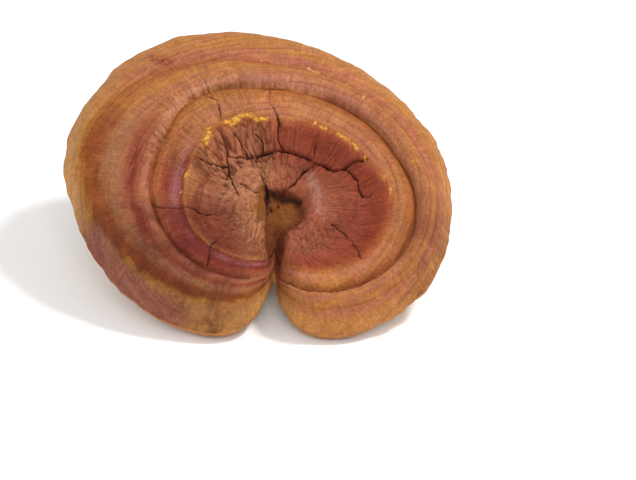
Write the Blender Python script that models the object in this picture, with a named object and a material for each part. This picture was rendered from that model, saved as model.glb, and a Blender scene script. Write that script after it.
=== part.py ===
"""A dried reishi mushroom: a kidney-shaped cap on a short stem that is cut off flat.

The cap is drawn in its own plane first: x to the right, y away from the notch, z out of the crust, with
the hollow over the stem at the origin. It is then tilted back and set down so that the cut stem and the
two lobes beside the notch stand on the surface z = 0. The origin is the middle of the cut.
Metres, +Z up.
"""

import math

import bmesh
import bpy
import numpy as np
from mathutils import Vector, noise

TAU = 2 * math.pi

# How the mushroom stands
CAP_TILT = math.radians(30)  # the cap leans back by this much
LOBE_CLEARANCE = 0.0003  # the lobes all but touch the surface, so the cut stem carries the weight

# Growth rings, as radii from the hollow every 30 degrees, counted from +x towards +y
CREST = (0.0455, 0.0405, 0.0390, 0.0375, 0.0415, 0.0372, 0.0350, 0.0330, 0.0310, 0.0320, 0.0390, 0.0450)
FURROW = (0.0545, 0.0520, 0.0530, 0.0550, 0.0595, 0.0520, 0.0475, 0.0435, 0.0410, 0.0420, 0.0485, 0.0540)
OUTER_FURROW = (
    0.0625, 0.0607, 0.0627, 0.0665, 0.0765, 0.0835, 0.0740, 0.0610, 0.0530, 0.0520, 0.0560, 0.0615,
)
RIM = (0.0692, 0.0728, 0.0781, 0.0885, 0.0984, 0.0935, 0.0787, 0.0680, 0.0620, 0.0605, 0.0625, 0.0672)
SHOULDER_WIDTH = 0.0042  # from the furrow out to the shoulder above it

# The notch over the stem, where the two lobes of the cap meet
NOTCH_ANGLE = math.radians(269)
NOTCH_SPREAD = math.radians(6.5)  # how quickly it closes away from its middle
NOTCH_TIP = math.radians(1.2)  # rounds the end of the notch
NOTCH_DEPTH = 0.58  # share of the rim radius
LOBE_HALF_WIDTH = math.radians(24)  # how far from the notch its lobes begin to round off
LOBE_DEPTH = 0.07

# Height of the crust along a radius. Ring 1 is the crest, 2 the furrow, 3 its shoulder, 4 the outer
# furrow, 5 the rim
RIM_NUMBER = 5
RING_HEIGHTS = (
    (0.00, -0.0010), (0.40, -0.0008), (0.60, -0.0002), (0.76, 0.0016), (0.92, 0.0054), (1.00, 0.0065),
    (1.12, 0.0062), (1.50, 0.0066), (1.80, 0.0059), (2.00, 0.0048), (2.25, 0.0066), (2.60, 0.0081),
    (3.00, 0.0088), (3.30, 0.0086), (3.75, 0.0070), (4.00, 0.0056), (4.25, 0.0046), (4.60, 0.0022),
    (5.00, -0.0015),
)
GROOVES = (
    # ring number, depth, half width, and the angles in degrees between which it shows
    (2.00, 0.0015, 0.0014, -140, 108), (2.00, 0.0008, 0.0009, 122, 230), (4.00, 0.0009, 0.0011, 50, 172),
    (4.00, 0.0005, 0.0016, -60, 30), (3.22, 0.0007, 0.0013, 138, 200), (3.38, 0.0005, 0.0009, -30, 130),
    (0.90, 0.0006, 0.0009, 150, 215),
)
GROOVE_FADE = 18  # degrees over which a groove fades out at its ends
NOTCH_TURN = -91  # degrees; angles are counted once round from the notch
FURROW_FILL, FURROW_FILL_REACH = 0.0012, 0.5  # ring 2 is shallower at the left; reach in ring numbers
FURROW_FILL_FROM, FURROW_FILL_TO, FURROW_FILL_FADE = 132, 235, 25  # degrees
LUMP_HEIGHT, LUMP_SIZE, LUMP_SEED = 0.0005, 0.017, 3  # the crust is a little uneven all over
MARGIN_LEVEL = -0.0055  # where the rounded margin is widest
LEAST_LIP = 0.0022  # the margin's widest line lies at least this far below the crust
MARGIN_WIDTH = 0.0080  # how far in the rounding of the upper side reaches
LOBE_ROLL = 0.0080  # how much further it reaches at the notch
UNDER_MARGIN_WIDTH = 0.0050
PORE_LEVEL = -0.0095  # the underside near the rim
PORE_BELLY = 0.0040  # how much lower it is over the stem
PORE_FLAT_RADIUS = 0.021  # the underside is flat as far out as the stem's flare

# The hollow over the stem, and the channel from it to the notch
PIT_CENTRE = (0.0020, 0.0005)
PIT_LEFT, PIT_RIGHT, PIT_ALONG = 0.0056, 0.0096, 0.0082  # radii; its right side slopes more gently
PIT_DEPTH = 0.0084
PIT_FLATNESS = 1.7  # above 1 its floor is flatter and its walls steeper
CHANNEL_HALF_WIDTH = 0.0036
CHANNEL_LEVEL = -0.0090

# A swollen plate of crust to the right of the hollow, and higher plates to its left
SWELLING_CENTRE = (0.0205, 0.0055)
SWELLING_RADII = (0.0100, 0.0105)
SWELLING_RISE = 0.0046
PIT_WALL = ((-0.0036, -0.0030), (-0.0037, 0.0085), (-0.0045, 0.0135), (-0.0058, 0.0185), (-0.0074, 0.0240))
PIT_WALL_RISE = 0.0018
PIT_WALL_REACH = 0.010  # how far to the left of that wall the plates stay high

# Drying has split the bowl's crust into plates that curl down along the cracks
CRACKS = (
    # depth of the valley between the plates, and its path
    (0.0016, ((-0.0194, 0.0235), (-0.0111, 0.0235), (-0.0076, 0.0256), (0.0021, 0.0273), (0.0065, 0.0263),
              (0.0118, 0.0241), (0.0192, 0.0193), (0.0227, 0.0165), (0.0271, 0.0168), (0.0360, 0.0190))),
    (0.0012, ((0.0149, 0.0204), (0.0096, 0.0156), (0.0079, 0.0125), (0.0026, 0.0092))),
    (0.0012, ((-0.0080, 0.0230), (-0.0052, 0.0150), (-0.0036, 0.0080))),
    (0.0010, ((0.0007, 0.0390), (0.0005, 0.0328), (0.0034, 0.0275))),
    (0.0010, ((0.0275, 0.0167), (0.0318, 0.0107), (0.0343, 0.0030))),
    (0.0010, ((-0.0480, -0.0020), (-0.0440, -0.0044), (-0.0333, -0.0037), (-0.0288, -0.0050),
              (-0.0234, -0.0033))),
    (0.0008, ((-0.0217, 0.0340), (-0.0194, 0.0235), (-0.0183, 0.0155), (-0.0142, 0.0060))),
)
CRACK_REACH = 0.0022  # how far from a crack the plates beside it begin to curl down

# The layer that shows below the rim at the lower left, parted from it by a groove
LEDGE_FROM, LEDGE_TO, LEDGE_FADE = math.radians(193), math.radians(232), math.radians(8)
LEDGE_INSET = 0.0050
LEDGE_DROP = 0.0016
LEDGE_GROOVE_DEPTH = 0.0016
LEDGE_GROOVE_HALF_WIDTH = 0.0012

# Stem
STEM_TOP_RADIUS = 0.0185  # the flare where it meets the cap
STEM_WAIST_RADIUS = 0.0128
STEM_CUT_RADII = (0.0150, 0.0165)
STEM_TOP_CENTRE = (0.0005, 0.0015)  # in the cap's plane
STEM_LEAN = (-0.0035, 0.0215)  # from the hollow to the middle of the cut, as seen from above
JOINT_GAP = 0.0003
STEM_LUMPS = ((2, 0.7, 0.050), (3, 2.1, 0.035), (5, 4.0, 0.022))  # waves round, phase, share of radius

# Mesh
COLUMNS = 112
COLUMN_CROWDING = 0.60  # columns stand closer together at the notch
TOP_RINGS = (
    0.10, 0.20, 0.30, 0.40, 0.50, 0.59, 0.66, 0.72, 0.78, 0.85, 0.93, 1.00, 1.12, 1.34, 1.60, 1.84,
    2.00, 2.22, 2.60, 3.00, 3.22, 3.38, 3.70, 4.00, 4.20, 4.45, 4.66, 4.80, 4.90, 4.97,
)
UNDER_RINGS = (4.95, 4.84, 4.64, 4.30, 3.50, 2.40, 1.50, 0.80, 0.40)
STEM_COLUMNS = 40
STEM_RINGS = 12
OUTLINE_POINTS = 480


def closed_curve(radii, angle):
    """Radius at an angle, on a smooth closed curve through evenly spaced radii."""
    count = len(radii)
    radii = np.asarray(radii)
    place = (np.asarray(angle) / TAU * count) % count
    low = np.floor(place).astype(int)
    part = place - low
    before, here, after, beyond = (radii[(low + step) % count] for step in (-1, 0, 1, 2))
    bend = 2 * before - 5 * here + 4 * after - beyond
    twist = 3 * (here - after) + beyond - before
    return here + 0.5 * part * (after - before + part * (bend + part * twist))


def smooth_curve(points, value):
    """Height at a value, on a smooth open curve through (value, height) points."""
    at, height = np.array(points).T
    slope = np.gradient(height, at)
    value = np.clip(value, at[0], at[-1])
    low = np.clip(np.searchsorted(at, value, side="right") - 1, 0, len(at) - 2)
    width = at[low + 1] - at[low]
    part = (value - at[low]) / width
    start, end = part * part * (3 - 2 * part), part * (1 - part)
    rise = height[low] + (height[low + 1] - height[low]) * start
    return rise + end * width * (slope[low] * (1 - part) - slope[low + 1] * part)


def bump(distance):
    return np.exp(-distance * distance)


def step(low, high, value):
    part = np.clip((value - low) / (high - low), 0, 1)
    return part * part * (3 - 2 * part)


def from_notch(angle):
    """Angle to the middle of the notch."""
    return np.abs((angle - NOTCH_ANGLE + math.pi) % TAU - math.pi)


def ring_radii(angle):
    """The radii of rings 0 to 5 at an angle, drawn in at the notch."""
    crest, furrow, outer, rim = (closed_curve(ring, angle) for ring in (CREST, FURROW, OUTER_FURROW, RIM))
    rings = np.array([np.zeros_like(crest), crest, furrow, furrow + SHOULDER_WIDTH, outer, rim])
    off = from_notch(angle)
    notch = NOTCH_DEPTH * np.exp(-np.hypot(off, NOTCH_TIP) / NOTCH_SPREAD)
    return rings * (1 - notch - LOBE_DEPTH * bump(off / LOBE_HALF_WIDTH))


def radius_of_ring(number, angle):
    """Radii of rings, which may lie between two of the named ones."""
    radii = ring_radii(angle)
    low = np.clip(number.astype(int), 0, RIM_NUMBER - 1)
    inner, outer = (np.take_along_axis(radii, row[None], axis=0)[0] for row in (low, low + 1))
    return inner + (number - low) * (outer - inner)


def outline():
    """The cap's closed outline in its own plane, notch included."""
    angle = np.linspace(0, TAU, OUTLINE_POINTS)
    radius = ring_radii(angle)[-1]
    return np.stack([radius * np.cos(angle), radius * np.sin(angle)], axis=1)


def distance_to_line(x, y, line):
    """Distance of each point from a line of straight stretches."""
    points, line = np.stack([x, y], axis=1), np.asarray(line)
    start, along = line[:-1], line[1:] - line[:-1]
    away = points[:, None, :] - start[None, :, :]
    share = np.clip((away * along).sum(2) / (along * along).sum(1), 0, 1)
    return np.linalg.norm(away - share[:, :, None] * along, axis=2).min(axis=1)


def window(low, high, soft, value):
    """1 between two values and 0 outside them, with soft ends."""
    return step(low - soft, low, value) * step(high + soft, high, value)


def lumps(x, y):
    shift = Vector((17.3, 5.1, 9.7)) * LUMP_SEED
    places = (Vector(place) / LUMP_SIZE + shift for place in zip(x, y, np.zeros_like(x)))
    return LUMP_HEIGHT * np.array([noise.noise(place) for place in places])


def groove_depth(angle, radius):
    """Depth of the furrows between rings: sharp valleys that follow a ring."""
    depth = np.zeros_like(radius)
    turn = (np.degrees(angle) - NOTCH_TURN) % 360 + NOTCH_TURN
    for number, deepest, half_width, first, last in GROOVES:
        off = np.abs(radius - radius_of_ring(np.full_like(radius, number), angle))
        depth += deepest * np.exp(-off / half_width) * window(first, last, GROOVE_FADE, turn)
    return depth


def pit_wall(x, y):
    """Rise of the plates to the left of the pit."""
    wall_x, wall_y = np.array(PIT_WALL).T
    left = np.interp(y, wall_y, wall_x) - x
    fading = np.exp(-np.clip(left, 0, None) / PIT_WALL_REACH)
    return PIT_WALL_RISE * step(-0.0005, 0.0009, left) * fading * window(-0.004, 0.023, 0.004, y)


def crack_depth(x, y):
    valleys = [depth * np.exp(-distance_to_line(x, y, path) / CRACK_REACH) for depth, path in CRACKS]
    return np.max(valleys, axis=0)


def crust_height(number, angle, x, y, margin):
    """Height of the upper side before the margin is rounded off."""
    height = smooth_curve(RING_HEIGHTS, number)
    filled = window(FURROW_FILL_FROM, FURROW_FILL_TO, FURROW_FILL_FADE, np.degrees(angle) % 360)
    height += FURROW_FILL * filled * bump((number - 2) / FURROW_FILL_REACH)
    (middle_x, middle_y), (half_x, half_y) = SWELLING_CENTRE, SWELLING_RADII
    height += SWELLING_RISE * bump(np.hypot((x - middle_x) / half_x, (y - middle_y) / half_y))
    from_pit = x - PIT_CENTRE[0]
    pit = np.hypot(from_pit / np.where(from_pit < 0, PIT_LEFT, PIT_RIGHT), (y - PIT_CENTRE[1]) / PIT_ALONG)
    height -= PIT_DEPTH * bump(pit**PIT_FLATNESS)
    channel = bump(x / CHANNEL_HALF_WIDTH) * step(0.002, -0.010, y)
    height += (np.minimum(height, CHANNEL_LEVEL) - height) * channel
    height += pit_wall(x, y) + lumps(x, y) - groove_depth(angle, np.hypot(x, y)) - crack_depth(x, y)
    on_ledge = window(LEDGE_FROM, LEDGE_TO, LEDGE_FADE, angle % TAU)
    groove = bump((margin - LEDGE_INSET) / LEDGE_GROOVE_HALF_WIDTH)
    below = step(LEDGE_INSET, LEDGE_INSET - LEDGE_GROOVE_HALF_WIDTH, margin)
    return height - on_ledge * (LEDGE_GROOVE_DEPTH * groove + LEDGE_DROP * below)


def quarter_round(margin, width):
    """0 at the margin's widest line, 1 where the rounding ends."""
    left = 1 - np.clip(margin / width, 0, 1)
    return np.sqrt(1 - left * left)


def cap_heights(number, angle, x, y, upper):
    """Heights of the cap's points, on its upper side or its underside."""
    margin = distance_to_line(x, y, outline())
    crust = crust_height(number, angle, x, y, margin)
    widest = np.minimum(MARGIN_LEVEL, crust - LEAST_LIP)
    belly = 1 - step(PORE_FLAT_RADIUS, max(RIM), np.hypot(x, y))
    pores = PORE_LEVEL - PORE_BELLY * belly
    roll = LOBE_ROLL * bump(from_notch(angle) / (2 * LOBE_HALF_WIDTH))
    above = widest + (crust - widest) * quarter_round(margin, MARGIN_WIDTH + roll)
    below = widest + (pores - widest) * quarter_round(margin, UNDER_MARGIN_WIDTH)
    return np.where(upper, above, below)


def to_standing(points, rise):
    """Tilts points of the cap's frame back and lifts them, about the hollow."""
    x, y, z = points.T
    cos, sin = math.cos(CAP_TILT), math.sin(CAP_TILT)
    return np.stack([x - STEM_LEAN[0], y * cos - z * sin - STEM_LEAN[1], y * sin + z * cos + rise], axis=1)


def vertex_array(mesh):
    return np.array([vertex.co for vertex in mesh.verts])


def set_vertices(mesh, points):
    for vertex, point in zip(mesh.verts, points):
        vertex.co = point


def cap_mesh():
    """A flat two-sided disc turned from a profile, then shaped by the growth rings.

    The profile's x is the ring number and its z tells the upper side from the underside."""
    mesh = bmesh.new()
    upper = [(number, 1) for number in (0, *TOP_RINGS)]
    under = [(number, -1) for number in (*UNDER_RINGS, 0)]
    profile = [mesh.verts.new((x, 0, z)) for x, z in [*upper, (RIM_NUMBER, 0), *under]]
    edges = [mesh.edges.new(pair) for pair in zip(profile, profile[1:])]
    bmesh.ops.spin(
        mesh, geom=profile + edges, axis=(0, 0, 1), cent=(0, 0, 0), angle=TAU, steps=COLUMNS, use_merge=True
    )
    bmesh.ops.remove_doubles(mesh, verts=mesh.verts, dist=1e-4)
    flat = vertex_array(mesh)
    turned = np.arctan2(flat[:, 1], flat[:, 0]) - NOTCH_ANGLE
    angle = NOTCH_ANGLE + turned - COLUMN_CROWDING * np.sin(turned)
    number = np.hypot(flat[:, 0], flat[:, 1])
    radius = radius_of_ring(number, angle)
    x, y = radius * np.cos(angle), radius * np.sin(angle)
    z = cap_heights(number, angle, x, y, flat[:, 2] > 0)
    set_vertices(mesh, np.stack([x, y, z], axis=1))
    bmesh.ops.recalc_face_normals(mesh, faces=mesh.faces)
    return mesh


def stem_mesh(rise):
    """A cylinder whose top follows the flat of the underside and whose foot is cut level."""
    mesh = bmesh.new()
    bmesh.ops.create_cone(
        mesh, cap_ends=True, cap_tris=True, segments=STEM_COLUMNS, radius1=1, radius2=1, depth=1
    )
    sides = [edge for edge in mesh.edges if abs(edge.verts[0].co.z - edge.verts[1].co.z) > 0.5]
    bmesh.ops.subdivide_edges(mesh, edges=sides, cuts=STEM_RINGS - 1, use_grid_fill=True)
    plain = vertex_array(mesh)
    height, across = plain[:, 2] + 0.5, np.hypot(plain[:, 0], plain[:, 1])
    angle = np.arctan2(plain[:, 1], plain[:, 0])
    wavy = across * (1 + sum(share * np.cos(waves * angle + phase) for waves, phase, share in STEM_LUMPS))
    top = np.stack(
        [
            STEM_TOP_CENTRE[0] + STEM_TOP_RADIUS * wavy * np.cos(angle),
            STEM_TOP_CENTRE[1] + STEM_TOP_RADIUS * wavy * np.sin(angle),
            np.full_like(across, PORE_LEVEL - PORE_BELLY - JOINT_GAP),
        ],
        axis=1,
    )
    top = to_standing(top, rise)
    foot = np.stack(
        [
            STEM_CUT_RADII[0] * wavy * np.cos(angle),
            STEM_CUT_RADII[1] * wavy * np.sin(angle),
            np.zeros_like(across),
        ],
        axis=1,
    )
    points = foot + (top - foot) * height[:, None]
    middle = foot.mean(axis=0) + (top.mean(axis=0) - foot.mean(axis=0)) * height[:, None]
    wide = STEM_CUT_RADII[0] + (STEM_TOP_RADIUS - STEM_CUT_RADII[0]) * height
    narrowing = 1 + (STEM_WAIST_RADIUS / wide - 1) * np.sin(math.pi * height**0.9) ** 2
    set_vertices(mesh, middle + (points - middle) * narrowing[:, None])
    bmesh.ops.recalc_face_normals(mesh, faces=mesh.faces)
    return mesh


def material(name, colour, roughness):
    made = bpy.data.materials.new(name)
    made.use_nodes = True
    shader = made.node_tree.nodes["Principled BSDF"]
    shader.inputs["Base Color"].default_value = (*colour, 1)
    shader.inputs["Roughness"].default_value = roughness
    shader.inputs["Metallic"].default_value = 0
    return made


def add_object(name, mesh, finish, collection):
    data = bpy.data.meshes.new(name)
    mesh.to_mesh(data)
    mesh.free()
    data.shade_smooth()
    data.set_sharp_from_angle(angle=math.radians(50))
    data.materials.append(finish)
    made = bpy.data.objects.new(name, data)
    collection.objects.link(made)
    return made


def main():
    for old in list(bpy.data.objects):
        bpy.data.objects.remove(old)
    collection = bpy.data.collections.new("reishi_mushroom")
    bpy.context.scene.collection.children.link(collection)
    cap = cap_mesh()
    lying = vertex_array(cap)
    rise = LOBE_CLEARANCE - to_standing(lying, 0)[:, 2].min()
    set_vertices(cap, to_standing(lying, rise))
    stem = stem_mesh(rise)
    add_object("cap", cap, material("varnished crust", (0.42, 0.17, 0.08), 0.5), collection)
    add_object("stem", stem, material("varnished stem", (0.16, 0.06, 0.03), 0.4), collection)


main()
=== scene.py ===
# %% [markdown]
# This script dresses a whole dried reishi mushroom: a kidney-shaped bracket cap, varnished and
# ringed on top and pored below, that leans back on a short stem cut off flat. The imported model
# gives its size and place. Here its plain solids get the crust's rings, wrinkles and cracks, the
# pores, and materials made of nodes. Lengths are in millimetres until a mesh is finished.

# %% Load the frame
import math

import bmesh
import bpy
import numpy as np
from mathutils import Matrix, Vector, noise


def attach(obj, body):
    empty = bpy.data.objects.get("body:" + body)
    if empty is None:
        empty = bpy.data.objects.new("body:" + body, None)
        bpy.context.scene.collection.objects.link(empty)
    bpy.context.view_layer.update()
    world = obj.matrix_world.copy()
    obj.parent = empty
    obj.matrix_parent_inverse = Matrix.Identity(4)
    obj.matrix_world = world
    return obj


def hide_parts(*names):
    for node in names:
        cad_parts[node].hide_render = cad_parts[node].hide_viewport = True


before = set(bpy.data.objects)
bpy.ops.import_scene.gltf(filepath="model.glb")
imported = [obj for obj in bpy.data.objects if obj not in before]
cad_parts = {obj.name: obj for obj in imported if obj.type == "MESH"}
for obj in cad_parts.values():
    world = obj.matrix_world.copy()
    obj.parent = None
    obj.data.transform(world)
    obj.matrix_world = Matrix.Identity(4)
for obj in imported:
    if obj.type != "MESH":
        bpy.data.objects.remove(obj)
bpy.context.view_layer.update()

MM = 0.001
TAU = math.tau

# %% [markdown]
# The camera stands where the photograph's did: a little above the mushroom, looking down on the
# cap's upper side. The hollow over the stem is the point that both views share, so the camera is
# placed by where that point shows in the picture.

# %% Camera
HOLLOW = Vector((3.5, -21.5, 35.77))  # in mm; the middle of the cap's rings
HOLLOW_PIXEL = (275, 207)
FRAME_SIZE = (636, 480)
CAMERA_ELEVATION = math.radians(27)
CAMERA_DISTANCE = 700
CLIP_START, CLIP_END = 0.01, 20  # in metres
PIXELS_PER_MM = 2.573  # at the hollow

camera = bpy.data.objects.new("camera", bpy.data.cameras.new("camera"))
bpy.context.scene.collection.objects.link(camera)
bpy.context.scene.camera = camera
camera.rotation_euler = (math.radians(90) - CAMERA_ELEVATION, 0, 0)
to_the_right = Vector((1, 0, 0))
upwards = Vector((0, math.sin(CAMERA_ELEVATION), math.cos(CAMERA_ELEVATION)))
forwards = Vector((0, math.cos(CAMERA_ELEVATION), -math.sin(CAMERA_ELEVATION)))
across = (HOLLOW_PIXEL[0] - FRAME_SIZE[0] / 2) / PIXELS_PER_MM
above = (FRAME_SIZE[1] / 2 - HOLLOW_PIXEL[1]) / PIXELS_PER_MM
place = HOLLOW - forwards * CAMERA_DISTANCE - to_the_right * across - upwards * above
camera.location = place * MM
camera.data.lens = PIXELS_PER_MM * CAMERA_DISTANCE / FRAME_SIZE[0] * camera.data.sensor_width
camera.data.clip_start, camera.data.clip_end = CLIP_START, CLIP_END
print("camera at", [round(v, 3) for v in camera.location], "lens", round(camera.data.lens, 1), "mm")

# %% [markdown]
# A bracket fungus grows outwards ring by ring, so nearly everything on its crust follows the
# rings: a crest round the bowl, a deep furrow with a shoulder above it, a finer furrow further
# out, and the rim. Each ring is a smooth closed curve through twelve radii. A point between two
# rings gets a number in between, and the crust's height is a curve over that number.

# %% The growth rings
# radii in millimetres at every 30 degrees, counted from the right over the back
CREST = (45.5, 40.5, 39.0, 37.5, 41.5, 37.2, 35.0, 33.0, 31.0, 32.0, 39.0, 45.0)
FURROW = (54.5, 52.0, 53.0, 55.0, 59.5, 52.0, 47.5, 43.5, 41.0, 42.0, 48.5, 54.0)
OUTER_FURROW = (62.5, 60.7, 62.7, 66.5, 76.5, 83.5, 74.0, 61.0, 53.0, 52.0, 56.0, 61.5)
RIM = (69.2, 72.8, 78.1, 88.5, 98.4, 93.5, 78.7, 68.0, 62.0, 60.5, 62.5, 67.2)
SHOULDER_WIDTH = 4.2
NOTCH_ANGLE = math.radians(269)
NOTCH_SPREAD, NOTCH_TIP, NOTCH_DEPTH = math.radians(6.5), math.radians(1.2), 0.58  # a share of the radius
LOBE_HALF_WIDTH, LOBE_DEPTH = math.radians(24), 0.07
RIM_NUMBER = 5


def bump(distance):
    """A smooth bell: 1 at no distance, and almost 0 from 2 on."""
    return np.exp(-distance * distance)


def step(low, high, value):
    """0 on the low side, 1 on the high side and smooth between; low may be the greater one."""
    part = np.clip((value - low) / (high - low), 0, 1)
    return part * part * (3 - 2 * part)


def closed_curve(radii, angle):
    """Radius at an angle, on a smooth closed curve through evenly spaced radii."""
    count = len(radii)
    radii = np.asarray(radii)
    place = (np.asarray(angle) / TAU * count) % count
    low = np.floor(place).astype(int)
    part = place - low
    before, here, after, beyond = (radii[(low + shift) % count] for shift in (-1, 0, 1, 2))
    bend = 2 * before - 5 * here + 4 * after - beyond
    twist = 3 * (here - after) + beyond - before
    return here + 0.5 * part * (after - before + part * (bend + part * twist))


def smooth_curve(points, value):
    """Height at a value, on a smooth open curve through (value, height) points."""
    at, height = np.array(points).T
    slope = np.gradient(height, at)
    value = np.clip(value, at[0], at[-1])
    low = np.clip(np.searchsorted(at, value, side="right") - 1, 0, len(at) - 2)
    width = at[low + 1] - at[low]
    part = (value - at[low]) / width
    start, end = part * part * (3 - 2 * part), part * (1 - part)
    rise = height[low] + (height[low + 1] - height[low]) * start
    return rise + end * width * (slope[low] * (1 - part) - slope[low + 1] * part)


def from_notch(angle):
    """How far an angle is from the notch, in radians."""
    return np.abs((angle - NOTCH_ANGLE + math.pi) % TAU - math.pi)


def ring_radii(angle):
    """The radii of rings 0 to 5 at an angle, drawn in at the notch."""
    crest, furrow, outer, rim = (closed_curve(ring, angle) for ring in (CREST, FURROW, OUTER_FURROW, RIM))
    rings = np.array([np.zeros_like(crest), crest, furrow, furrow + SHOULDER_WIDTH, outer, rim])
    off = from_notch(angle)
    notch = NOTCH_DEPTH * np.exp(-np.hypot(off, NOTCH_TIP) / NOTCH_SPREAD)
    return rings * (1 - notch - LOBE_DEPTH * bump(off / LOBE_HALF_WIDTH))


def radius_of_ring(number, angle):
    """Radius of a ring, which may lie between two of the named ones."""
    radii = ring_radii(angle)
    low = np.clip(number.astype(int), 0, RIM_NUMBER - 1)
    inner, outer = (np.take_along_axis(radii, row[None], axis=0)[0] for row in (low, low + 1))
    return inner + (number - low) * (outer - inner)


print("the rim's radius goes from", min(RIM), "to", max(RIM), "mm, before the notch")

# %% [markdown]
# Natural surfaces are uneven at many sizes at once. Blender's noise gives one smooth lumpy field;
# scaled to a lump's real size and shifted by a seed, it serves for lumps, wrinkles and wobble.
# Read at points round a circle, it closes on itself, so no seam shows behind the cap.


# %% Noise
SEED_SHIFT = Vector((17.3, 5.1, 9.7))


def noise_at(points, seed):
    """Smooth noise from about -1 to 1 at each point, whose lumps are 1 wide."""
    shift = SEED_SHIFT * seed
    return np.array([noise.noise(Vector(point) + shift) for point in points])


def sum_of_noises(points, noises):
    """Noises added up; each has its height, the length of its lumps, and its seed."""
    return sum(height * noise_at(points / length, seed) for height, length, seed in noises)


def in_plane(x, y):
    """Points from two lists of coordinates, at height 0."""
    return np.stack([x, y, np.zeros_like(x)], axis=1)


def round_the_rings(angle, lumps_round, along, lump_length):
    """Points whose noise has so many lumps round the cap, each so long across the rings."""
    reach = lumps_round / TAU
    return np.stack([reach * np.cos(angle), reach * np.sin(angle), along / lump_length], axis=1)


def creases(values, width=0.35):
    """Narrow valleys, from 0 to 1, where a noise passes through zero."""
    return np.clip(1 - np.abs(values) / width, 0, 1) ** 2


print("noise at two points:", noise_at(in_plane(np.array([0.3, 0.9]), np.array([0.5, 0.1])), 1).round(2))

# %% [markdown]
# The cap starts as a flat two-sided disc: a straight profile spun round the pole, in which a
# point's distance from the pole is its ring number. Spin gives a clean grid that follows the
# rings, the way the relief does, and it stays one closed body whatever the relief then does.
# Rings stand close together in the bowl, where the cracks are, and at the margin.

# %% A disc that follows the rings
COLUMNS = 520
COLUMN_CROWDING = 0.35
RING_STEPS = (72, 24, 9, 16, 22)  # from each ring to the next
RIM_CROWDING = 1.5  # above 1 the last rings close up towards the rim
MERGED_WITHIN = 1e-5
UNDER_RINGS = (4.97, 4.9, 4.8, 4.64, 4.3, 3.8, 3.2, 2.6, 2.0, 1.5, 1.0, 0.6, 0.3)


def spaced_rings():
    """Ring numbers from the first step off the pole to just inside the rim."""
    numbers = []
    for ring, steps in enumerate(RING_STEPS):
        steps = steps
        share = np.arange(1, steps + 1) / steps
        if ring == len(RING_STEPS) - 1:
            share = 1 - (1 - share) ** RIM_CROWDING
        numbers += [ring + float(part) for part in share]
    return numbers[:-1]


def two_sided_disc():
    """A closed disc whose points lie at 1 above the plane, at 0 on the rim, and at -1 below."""
    mesh = bmesh.new()
    upper = [(number, 1) for number in (0, *spaced_rings())]
    under = [(number, -1) for number in (*UNDER_RINGS, 0)]
    profile = [mesh.verts.new((x, 0, z)) for x, z in [*upper, (RIM_NUMBER, 0), *under]]
    edges = [mesh.edges.new(pair) for pair in zip(profile, profile[1:])]
    bmesh.ops.spin(
        mesh, geom=profile + edges, axis=(0, 0, 1), cent=(0, 0, 0), angle=TAU, steps=COLUMNS, use_merge=True
    )
    bmesh.ops.remove_doubles(mesh, verts=mesh.verts, dist=MERGED_WITHIN)
    bmesh.ops.recalc_face_normals(mesh, faces=mesh.faces)
    return mesh


def ring_and_angle(flat):
    """Ring number and angle of the disc's points, with its columns crowded towards the notch."""
    turned = np.arctan2(flat[:, 1], flat[:, 0]) - NOTCH_ANGLE
    return np.hypot(flat[:, 0], flat[:, 1]), NOTCH_ANGLE + turned - COLUMN_CROWDING * np.sin(turned)


disc = two_sided_disc()
print("disc:", len(disc.verts), "points,", len(disc.faces), "faces")

# %% [markdown]
# Drying has split the bowl's crust into plates. Each crack is a short list of points in the cap's
# own plane, in millimetres from the hollow, with its half width and depth. The noise bends it
# between those points, so it doesn't run in straight pieces. The faces beside a crack are divided
# once more, which lets it stay thin.

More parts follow.
